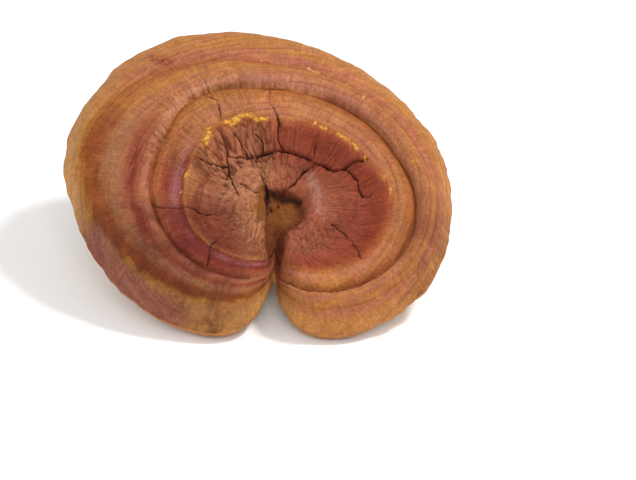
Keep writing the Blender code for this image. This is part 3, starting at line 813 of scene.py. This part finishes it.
def new_material(name, **values):
    """A material with its shader's own values set, and its tree and shader."""
    made = bpy.data.materials.new(name)
    made.use_nodes = True
    shader = made.node_tree.nodes["Principled BSDF"]
    for socket, value in values.items():
        shader.inputs[socket.replace("_", " ")].default_value = value
    return made, made.node_tree, shader


# Inputs and output of a Mix node that mixes colours
FACTOR, FIRST, SECOND, MIXED = 0, 6, 7, 2
print("a rose-brown as linear values:", [round(share, 3) for share in linear("#AE6446")])

# %% [markdown]
# A reishi's crust is a thin natural lacquer over corky flesh. Fresh it shines; dried and handled
# it turns satin. Its colour follows the rings, from purple-brown plates over a dark red bowl to
# ochre and rose bands and an ochre rim, so the base colour is a ramp over the ring number. The
# left side is browner and has bands of its own.

# %% The crust's bands
BANDS = (
    # share of the way from the hollow to the rim, and colour; a ramp starts with its two ends
    (0.000, "#4A2412"), (1.000, "#BC7E42"), (0.060, "#AA5E44"), (0.110, "#AE6446"), (0.140, "#A8543C"),
    (0.190, "#9E4A2C"), (0.222, "#AE683E"), (0.236, "#B66E4C"), (0.270, "#B87054"), (0.330, "#B8703E"),
    # the stops at 0.424 and 0.480 lie on the furrow's upper wall and are lightened past its own rose as
    # painted light
    (0.375, "#AA6232"), (0.396, "#6C320F"), (0.408, "#C07840"), (0.424, "#DA9672"), (0.480, "#DC9876"),
    (0.530, "#C07A54"), (0.560, "#BA763C"), (0.600, "#B66E48"), (0.650, "#B26E4A"), (0.700, "#B67438"),
    (0.770, "#B26C3A"), (0.796, "#96501E"), (0.806, "#AE6444"), (0.850, "#B0644A"), (0.880, "#B6743A"),
    (0.950, "#BC7C42"),
)
LEFT_BANDS = (
    (0.000, "#B06C48"), (1.000, "#C28A4A"), (0.130, "#A5623E"), (0.143, "#9C563C"), (0.155, "#BC7C56"),
    (0.170, "#904A32"), (0.184, "#A86440"), (0.198, "#B07A44"), (0.222, "#802C20"), (0.255, "#A06260"),
    (0.300, "#822E22"), (0.345, "#A45438"), (0.385, "#AC6C46"), (0.400, "#804020"), (0.425, "#A45A3C"),
    (0.500, "#AE6850"), (0.570, "#A86248"), (0.606, "#944C36"), (0.626, "#7C281C"), (0.650, "#98523A"),
    (0.690, "#9C6A48"), (0.715, "#965A36"), (0.735, "#823E1A"), (0.780, "#8C4814"), (0.800, "#B47830"),
    (0.830, "#B67E42"), (0.900, "#C48C52"),
)
print("bands:", len(BANDS), "and", len(LEFT_BANDS), "on the left side")

# %% [markdown]
# Two kinds of values steer the crust's colours: the masks that the relief left on the mesh, and
# noises. Noise that is stretched along the rings gives streaks, across them it gives rays, and
# even noise gives patches and specks. Each spell of growth also left a narrow terrace: a wave
# over the distance from the hollow, bent by noise, draws them.

# %% The crust's masks and noises
crust, crust_tree, crust_shader = new_material("lacquered_reishi_crust", Specular_IOR_Level=0.13)
on_object = add_node(crust_tree, "TexCoord").outputs["Object"]
along_rings = add_node(crust_tree, "Attribute", attribute_name="rings").outputs["Vector"]
fields = {name: add_node(crust_tree, "Attribute", attribute_name=name).outputs["Fac"] for name in cap_masks}
NOISES = (
    # name; lumps to a unit round the rings and to a millimetre across them; scale, detail, roughness
    ("streaks", (0.07, 0.8), 1.0, 5, 0.6),
    ("thin streaks", (0.12, 0.9), 1.0, 4, 0.6),
    ("ring lines", (0.12, 0.9), 1.2, 4, 0.6),
    ("wide streaks", (0.05, 0.28), 1.7, 5, 0.6),
    ("fibres", (1.5, 0.12), 1.0, 5, 0.7),
    ("rays", (0.7, 0.07), 1.0, 4, 0.65),
    ("dashes", (2.2, 1.0), 1.0, 5, 0.7),
    ("tufts", (0.7, 1.0), 1.0, 5, 0.7),
    # even noises, with lumps to a metre
    ("thin lacquer", None, 34, 3, 0.5),
    ("grey places", None, 48, 4, 0.6),
    ("patches", None, 60, 5, 0.6),
    ("side places", None, 90, 4, 0.6),
    ("low places", None, 120, 5, 0.65),
    ("blotches", None, 170, 6, 0.65),
    ("dust grains", None, 420, 8, 0.8),
    ("flecks", None, 850, 6, 0.75),
    ("speckles", None, 900, 6, 0.8),
    ("skin", None, 1000, 6, 0.7),
)
for noise_name, stretch, scale, detail, roughness in NOISES:
    values = {"Vector": on_object, "Scale": scale, "Detail": detail, "Roughness": roughness}
    if stretch:
        scales = {"Vector": along_rings, "Scale": (stretch[0], stretch[0], stretch[1])}
        values["Vector"] = add_node(crust_tree, "Mapping", scales).outputs[0]
    fields[noise_name] = add_node(crust_tree, "TexNoise", values).outputs["Fac"]
TERRACE_SCALE = 0.095  # one terrace to every 3.3 mm
terrace_wave = add_node(
    crust_tree, "TexWave",
    {"Vector": along_rings, "Scale": TERRACE_SCALE, "Distortion": 5.0, "Detail": 3.0, "Detail Scale": 0.35},
    bands_direction="Z", wave_profile="SAW",
)
fields["terraces"] = terrace_wave.outputs["Fac"]
SUMS = (
    # name, a field and how much of it, and the field it is added to
    ("shifted ring", "streaks", 0.4, "ring"),
    ("blurred ring", "patches", 0.2, "shifted ring"),
    ("torn flecks", "torn", 0.46, "tufts"),
    ("scar flecks", "scar", 0.5, "flecks"),
    ("gold flecks", "specks", 0.33, "dashes"),
    ("dusty flecks", "dust", 0.3, "dust grains"),
)
for sum_name, first, share, second in SUMS:
    values = {0: fields[first], 1: share, 2: fields[second]}
    fields[sum_name] = add_node(crust_tree, "Math", values, operation="MULTIPLY_ADD").outputs[0]
print("masks and noises for the crust:", len(fields))

# %% [markdown]
# The colour is built up like thin coats of stain. Each coat has a colour, a mask that says where
# it may lie, and a field whose range says how thickly it lies there. First come loose patches
# over the bands: ochre where the lacquer is thin, and rose, brown and grey-tan streaks.

# %% The crust's patches
def laid_over(colour, coats):
    """Colour socket of coats of stain laid over a colour."""
    for hex_colour, mask, field, low, high, least, most in coats:
        values = {"Value": fields[field], "From Min": low, "From Max": high, "To Min": least, "To Max": most}
        amount = add_node(crust_tree, "MapRange", values).outputs[0]
        if mask:
            values = {0: amount, 1: fields[mask]}
            amount = add_node(crust_tree, "Math", values, operation="MULTIPLY").outputs[0]
        values = {FACTOR: amount, FIRST: colour, SECOND: linear(hex_colour)}
        colour = add_node(crust_tree, "Mix", values, data_type="RGBA").outputs[MIXED]
    return colour


PATCHES = (
    # colour, mask, field, the field's low and high value, and how much lies there at each
    ("#B87830", "off_bowl", "thin lacquer", 0.48, 0.66, 0, 0.5),
    ("#AC6550", "off_bowl", "wide streaks", 0.50, 0.64, 0, 0.6),
    ("#C28446", "terraced", "terraces", 0.30, 0.90, 0, 0.38),
    ("#94501E", "off_bowl", "thin streaks", 0.56, 0.72, 0, 0.5),
    ("#BE8848", "off_bowl", "blotches", 0.52, 0.68, 0, 0.35),
    ("#9C7448", "off_bowl", "grey places", 0.56, 0.70, 0, 0.26),
    ("#CA8A62", None, "left_plates", 0, 1, 0, 0.8),
    ("#9C4C34", "left_plates", "blotches", 0.48, 0.62, 0, 0.5),
    ("#B8803E", "left_plates", "patches", 0.54, 0.66, 0, 0.5),
    # painted light on the furrow's upper wall
    ("#CA8670", None, "wall", 0, 1, 0, 0.5),
)
along = add_node(crust_tree, "MapRange", {"Value": fields["blurred ring"], "From Min": 0.3, "From Max": 5.3})
bands = add_node(crust_tree, "ValToRGB", {"Fac": along.outputs[0]}, stops=BANDS)
left_bands = add_node(crust_tree, "ValToRGB", {"Fac": along.outputs[0]}, stops=LEFT_BANDS)
crust_colour = laid_over(bands.outputs["Color"], PATCHES)
values = {"Value": fields["side places"], "From Min": 0.3, "From Max": 0.55, "To Min": 0.6}
side = add_node(crust_tree, "MapRange", values)
side_share = add_node(crust_tree, "Math", {0: side.outputs[0], 1: fields["left"]}, operation="MULTIPLY")
values = {FACTOR: side_share.outputs[0], FIRST: crust_colour, SECOND: left_bands.outputs["Color"]}
crust_colour = add_node(crust_tree, "Mix", values, data_type="RGBA").outputs[MIXED]
print("coats of stain so far:", len(PATCHES))

# %% [markdown]
# Then come what growth and drying left: dark edges to the terraces, a darker lower left, the purple-brown
# lower layer at the rim, and fine rays down the bowl's wall. With them come painted shade in the furrows at
# the right and on the lower plates. Fibres and specks shade them all.

# %% The crust's growth marks
GROWTH_MARKS = (
    ("#844426", "terraced", "terraces", 0.34, 0.0, 0, 0.44),
    ("#84341E", "wall_foot", "rays", 0.46, 0.66, 0, 0.5),
    ("#C06A2A", None, "edge_line", 0, 1, 0, 0.55),
    ("#9A4E1E", None, "outer_line", 0, 1, 0, 0.5),
    ("#5C2414", "low", "low places", 0.6, 0.3, 0.36, 0.88),
    ("#8A4E3E", None, "lower_layer", 0, 1, 0, 1),
    ("#A46C50", "lower_layer", "streaks", 0.46, 0.64, 0, 0.6),
    ("#5A281C", "lower_layer", "blotches", 0.50, 0.66, 0, 0.5),
    # painted shade on the lower plates
    ("#7C3020", None, "low_plates_shade", 0, 1, 0, 0.66),
    ("#70241E", "low_ridge", "low places", 0.64, 0.34, 0.3, 0.8),
    # painted shade in the furrows at the right
    ("#8A4424", None, "furrow_shade", 0, 1, 0, 0.44),
    ("#7A2416", None, "right_wall", 0, 1, 0, 0.35),
    ("#66281A", "bowl_wall", "rays", 0.50, 0.62, 0, 0.4),
    ("#84501F", "specks", "rays", 0.46, 0.60, 0, 0.45),
)
SHADES = (
    # field, its low and high value, and the brightness at each
    ("fibres", 0.35, 0.65, 0.84, 1.1),
    ("speckles", 0.38, 0.62, 0.76, 1.2),
    ("blotches", 0.3, 0.6, 0.82, 1.04),
)
crust_colour = laid_over(crust_colour, GROWTH_MARKS)
for field, low, high, dark, bright in SHADES:
    values = {"Value": fields[field], "From Min": low, "From Max": high, "To Min": dark, "To Max": bright}
    shade = add_node(crust_tree, "MapRange", values)
    values = {FACTOR: 1.0, FIRST: crust_colour, SECOND: shade.outputs[0]}
    crust_colour = add_node(crust_tree, "Mix", values, data_type="RGBA", blend_type="MULTIPLY").outputs[MIXED]
print("growth marks:", len(GROWTH_MARKS), "shades:", len(SHADES))

# %% [markdown]
# Last come the spots that the relief's masks place: painted shade in the wrinkles and cracks, the pit
# darkened as painted shade with a painted shadow along its upper edge, its tan knob, pale dust, and torn
# yellow flesh.

# %% The crust's spots
SPOTS = (
    # painted shade in the wrinkles, darker the deeper they are
    ("#5C2412", None, "wrinkle", 0.15, 1.1, 0, 0.65),
    ("#7E3020", "bruise", "flecks", 0.4, 0.52, 0, 1),
    ("#7C4408", None, "pit_side", 0.1, 0.8, 0, 0.85),
    # painted shade in the pit, darker where the crust lies deeper
    ("#6A3014", None, "depth", 0, 0.7, 0, 0.85),
    ("#8E5626", "knob", "flecks", 0.35, 0.6, 0.6, 1),
    # painted shadow along the pit's edge, and painted shade in the knob's holes
    ("#2C1408", None, "pit_edge_shadow", 0.1, 1.0, 0, 0.94),
    ("#CDA89C", None, "dusty flecks", 0.70, 0.95, 0, 0.56),
    # painted shade in the cracks: a soft dark edge and a near-black core
    ("#4A1C10", None, "crack", 0.05, 0.5, 0, 0.35),
    ("#2A0F08", None, "crack", 0.42, 1.0, 0, 1),
    ("#CC9850", None, "gold flecks", 0.86, 0.97, 0, 0.5),
    ("#C4843A", None, "torn flecks", 0.72, 0.92, 0, 0.6),
    ("#D8A06C", None, "scar flecks", 0.9, 0.97, 0, 1),
    ("#E6AA40", None, "torn flecks", 0.90, 0.98, 0, 1),
)
crust_colour = laid_over(crust_colour, SPOTS)
crust_tree.links.new(crust_colour, crust_shader.inputs["Base Color"])
print("nodes in the crust's material:", len(crust_tree.nodes))

# %% [markdown]
# Gloss varies with how much of the lacquer is left. The finest relief is a chain of bumps: pitted
# skin, fibres, lines along the rings, the terraces' steps, and the rays of the bowl's wall.

# %% The crust's gloss and fine relief
values = {"Value": fields["patches"], "From Min": 0.3, "From Max": 0.7, "To Min": 0.42, "To Max": 0.68}
gloss = add_node(crust_tree, "MapRange", values)
crust_tree.links.new(gloss.outputs[0], crust_shader.inputs["Roughness"])
BUMPS = (
    # field, the mask that it is kept to, its height in metres and its strength
    ("skin", None, 0.0007, 0.9),
    ("fibres", None, 0.0005, 0.8),
    ("ring lines", "off_bowl", 0.0006, 0.5),
    ("terraces", "terraced", 0.0003, 1.0),
    ("rays", "rayed", 0.0016, 1.0),
)
normal = None
for field, mask, height, strength in BUMPS:
    relief = fields[field]
    if mask:
        relief = add_node(crust_tree, "Math", {0: relief, 1: fields[mask]}, operation="MULTIPLY").outputs[0]
    values = {"Height": relief, "Distance": height, "Strength": strength}
    if normal:
        values["Normal"] = normal
    normal = add_node(crust_tree, "Bump", values).outputs[0]
crust_tree.links.new(normal, crust_shader.inputs["Normal"])
cap.data.materials.append(crust)
print("bumps, from the finest to the bowl's rays:", len(BUMPS))

# %% [markdown]
# The underside is a sheet of tubes whose mouths show as fine pores, four or five to a millimetre.
# Here they are drawn a little coarser, so that they show at all. Dried, it is a dull cream-tan.

# %% The pore surface's material
PORE_SIZE = 0.45  # mm; real pores are about half as wide
PORE_DEPTH = 0.0002  # in metres, as a bump wants it
CLOUDS = 45.0  # to a metre
PORES_TO_RING = 4.7  # beyond it the crust turns under the rim
pores, pores_tree, pores_shader = new_material("reishi_pore_surface", Roughness=0.85)
pore_places = add_node(pores_tree, "TexCoord").outputs["Object"]
cells = add_node(pores_tree, "TexVoronoi", {"Vector": pore_places, "Scale": 1 / (PORE_SIZE * MM)})
clouds = add_node(pores_tree, "TexNoise", {"Vector": pore_places, "Scale": CLOUDS, "Detail": 5.0})
pore_colour = add_node(
    pores_tree, "ValToRGB", {"Fac": clouds.outputs["Fac"]},
    stops=((0.3, "#A5794C"), (0.7, "#D3B285"), (0.5, "#C29A68")),
)
# painted shade: each pore is darkened towards its middle, where its tube goes in
values = {"Value": cells.outputs["Distance"], "From Max": 0.5, "To Min": 0.75}
pore_mouth_shade = add_node(pores_tree, "MapRange", values)
values = {FACTOR: 1.0, FIRST: pore_colour.outputs["Color"], SECOND: pore_mouth_shade.outputs[0]}
shaded_pores = add_node(pores_tree, "Mix", values, data_type="RGBA", blend_type="MULTIPLY")
pores_tree.links.new(shaded_pores.outputs[MIXED], pores_shader.inputs["Base Color"])
pore_bump = add_node(pores_tree, "Bump", {"Height": cells.outputs["Distance"], "Distance": PORE_DEPTH})
pores_tree.links.new(pore_bump.outputs[0], pores_shader.inputs["Normal"])
cap.data.materials.append(pores)

pored = (flat_points[:, 2] < 0) & (cap_masks["ring"] < PORES_TO_RING)
corner_points = np.zeros(len(cap.data.loops), int)
cap.data.loops.foreach_get("vertex_index", corner_points)
starts = np.zeros(len(cap.data.polygons), int)
cap.data.polygons.foreach_get("loop_start", starts)
all_pored = np.logical_and.reduceat(pored[corner_points], starts)
cap.data.polygons.foreach_set("material_index", all_pored.astype(int))
print("faces with pores:", all_pored.sum(), "of", len(all_pored))

# %% [markdown]
# The stem wears the same lacquer, darker and glossier than on the cap. Its cut shows corky flesh.

# %% The stem's materials
CUT_LEVEL = 0.0001  # in metres; the cut's faces lie below it
MOTTLE, MOTTLE_HEIGHT = 120.0, 0.0006  # to a metre, and in metres
FLESH_FIBRES = 900.0  # to a metre
stem_crust, stem_tree, stem_shader = new_material("lacquered_stem", Roughness=0.35, Coat_Weight=0.3)
stem_places = add_node(stem_tree, "TexCoord").outputs["Object"]
stem_noise = add_node(stem_tree, "TexNoise", {"Vector": stem_places, "Scale": MOTTLE, "Detail": 5.0})
stem_colour = add_node(
    stem_tree, "ValToRGB", {"Fac": stem_noise.outputs["Fac"]},
    stops=((0.3, "#3A1712"), (0.7, "#7C3F28"), (0.5, "#562419")),
)
# painted shade: the stem's wrinkles are darkened
stem_creases = add_node(stem_tree, "Attribute", attribute_name="wrinkle").outputs["Fac"]
values = {FACTOR: stem_creases, FIRST: stem_colour.outputs["Color"], SECOND: linear("#240D0A")}
crease_shaded_stem = add_node(stem_tree, "Mix", values, data_type="RGBA")
stem_tree.links.new(crease_shaded_stem.outputs[MIXED], stem_shader.inputs["Base Color"])
stem_bump = add_node(stem_tree, "Bump", {"Height": stem_noise.outputs["Fac"], "Distance": MOTTLE_HEIGHT})
stem_tree.links.new(stem_bump.outputs[0], stem_shader.inputs["Normal"])

flesh, flesh_tree, flesh_shader = new_material("cut_reishi_flesh", Roughness=0.9)
flesh_places = add_node(flesh_tree, "TexCoord").outputs["Object"]
fibres = add_node(flesh_tree, "TexNoise", {"Vector": flesh_places, "Scale": FLESH_FIBRES, "Detail": 4.0})
flesh_colour = add_node(
    flesh_tree, "ValToRGB", {"Fac": fibres.outputs["Fac"]}, stops=((0.3, "#A8763F"), (0.7, "#D9A868"))
)
flesh_tree.links.new(flesh_colour.outputs["Color"], flesh_shader.inputs["Base Color"])

stem.data.materials.append(stem_crust)
stem.data.materials.append(flesh)
for face in stem.data.polygons:
    face.material_index = int(face.center.z < CUT_LEVEL)
print("faces of the cut:", sum(face.material_index for face in stem.data.polygons))

# %% [markdown]
# The object is told to the frame: both pieces ride on the one body and stand for their nodes.

# %% Tie the pieces to the frame
for piece, node, slot in ((cap, "cap", "crust"), (stem, "stem", "stem_crust")):
    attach(piece, "root")
    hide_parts(node)
print("pieces tied to the frame:", cap.name, stem.name)

# %% [markdown]
# The picture is lit as in a small product studio: white floor and surroundings, one small strong
# light at the upper right, which shades the furrows, and two weak large ones at the front and left.

# %% Floor, lights and surroundings
FLOOR_HALF_WIDTH = 4
SURROUNDINGS_STRENGTH = 0.68
LIT_POINT = Vector((0, 0, 0.04))
floor_mesh = bmesh.new()
bmesh.ops.create_grid(floor_mesh, x_segments=1, y_segments=1, size=FLOOR_HALF_WIDTH)
floor = mesh_object("floor", floor_mesh)
white = new_material("white_paper", Base_Color=linear("#FBFBFB"), Roughness=0.9)[0]
floor.data.materials.append(white)

world = bpy.data.worlds.new("studio")
world.use_nodes = True
background = world.node_tree.nodes["Background"]
background.inputs["Color"].default_value = linear("#FFFFFF")
background.inputs["Strength"].default_value = SURROUNDINGS_STRENGTH
bpy.context.scene.world = world
bpy.context.scene.view_settings.view_transform = "Standard"

LIGHTS = (
    # name, place, size and power
    ("key", (0.65, 0.0, 1.0), 0.22, 9.0),
    ("front", (0.1, -1.0, 0.8), 0.6, 4.5),
    ("left", (-1.0, -0.3, 0.5), 0.5, 1.6),
)
for light_name, light_place, light_size, light_power in LIGHTS:
    lamp = bpy.data.lights.new(light_name, "AREA")
    lamp.shape, lamp.size, lamp.energy = "DISK", light_size, light_power
    light = bpy.data.objects.new(light_name, lamp)
    light.location = light_place
    light.rotation_euler = (LIT_POINT - Vector(light_place)).to_track_quat("-Z", "Y").to_euler()
    bpy.context.scene.collection.objects.link(light)
print("lights:", len(LIGHTS))

# %% Finish
bpy.context.view_layer.update()
